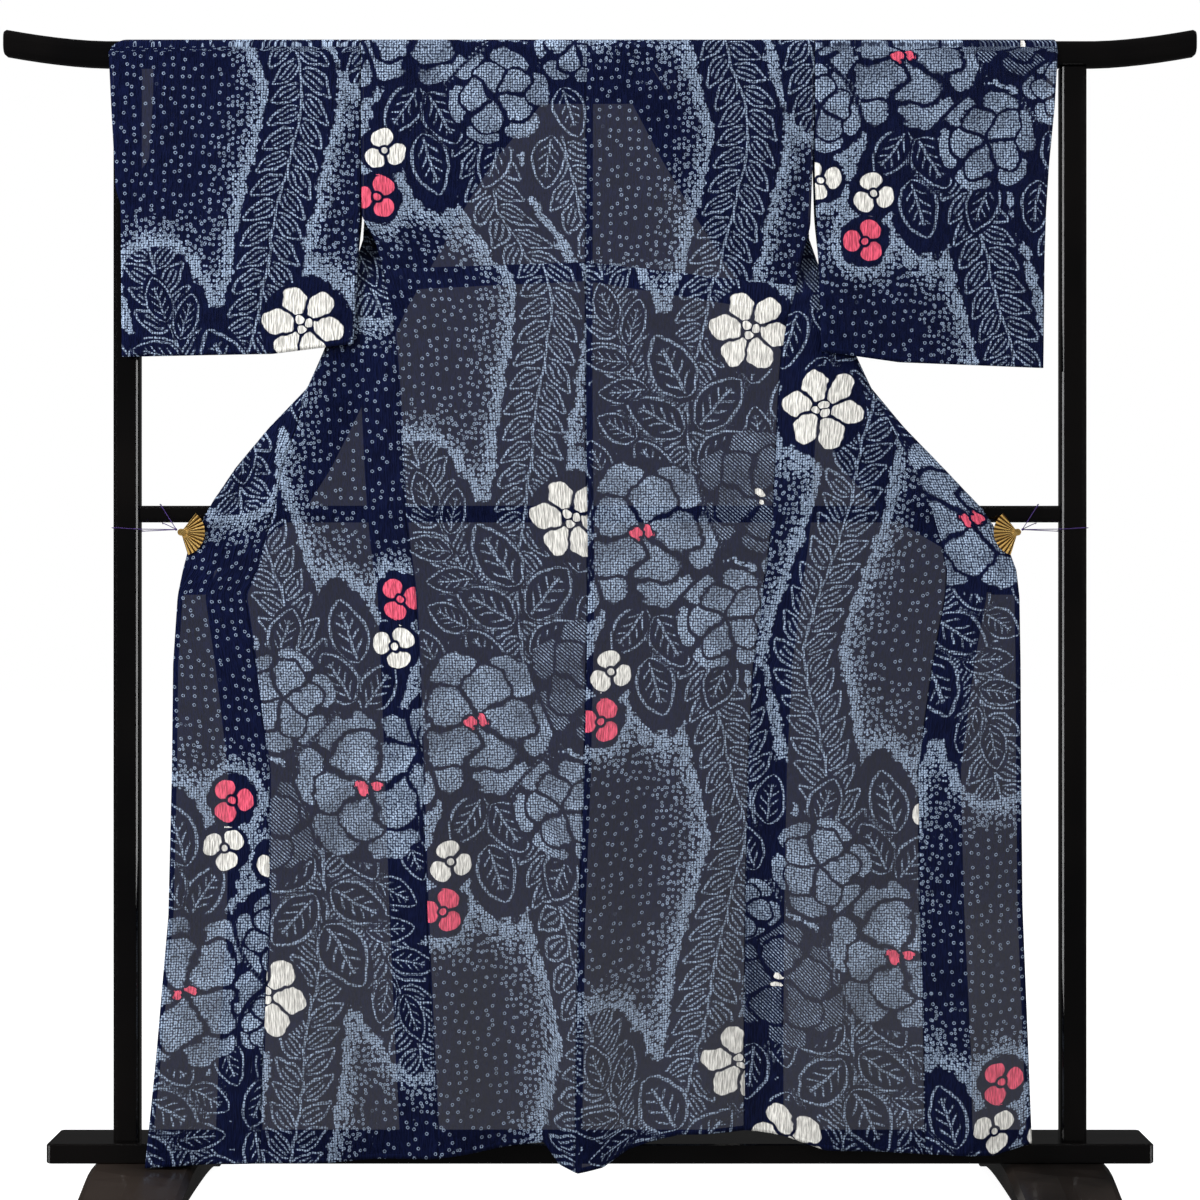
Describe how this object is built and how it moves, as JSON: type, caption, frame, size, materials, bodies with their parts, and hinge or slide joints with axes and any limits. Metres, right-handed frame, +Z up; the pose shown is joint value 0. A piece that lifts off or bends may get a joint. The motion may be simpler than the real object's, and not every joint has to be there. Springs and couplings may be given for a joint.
{
  "type": "yukata on a kimono stand",
  "caption": "Sheer navy cotton yukata, seen from the back, hung by its sleeves on a black lacquered stand, its fronts held out by fan-shaped clips.",
  "frame": {"origin": "on the floor under the middle of the stand", "axes": "+Z up, -Y towards the viewer who sees the yukata's back, +X to that viewer's right"},
  "size_m": [1.718, 0.6, 1.7008],
  "materials": {
    "cotton": "sheer crinkled cotton with tie-dye flowers",
    "lacquer": "black gloss lacquer",
    "gilt": "polished gold colour",
    "cord": "thin purple twist"
  },
  "bodies": {
    "root": {"body_left": "cotton", "body_right": "cotton", "okumi_left": "cotton", "okumi_right": "cotton", "sleeve_left": "cotton", "sleeve_right": "cotton", "collar": "cotton", "top_bar": "lacquer", "middle_rail": "lacquer", "base_plank": "lacquer", "post_left": "lacquer", "post_right": "lacquer", "foot_left": "lacquer", "foot_right": "lacquer", "clip_left": "gilt", "clip_right": "gilt", "clip_cord_left": "cord", "clip_cord_right": "cord"}
  },
  "joints": []
}
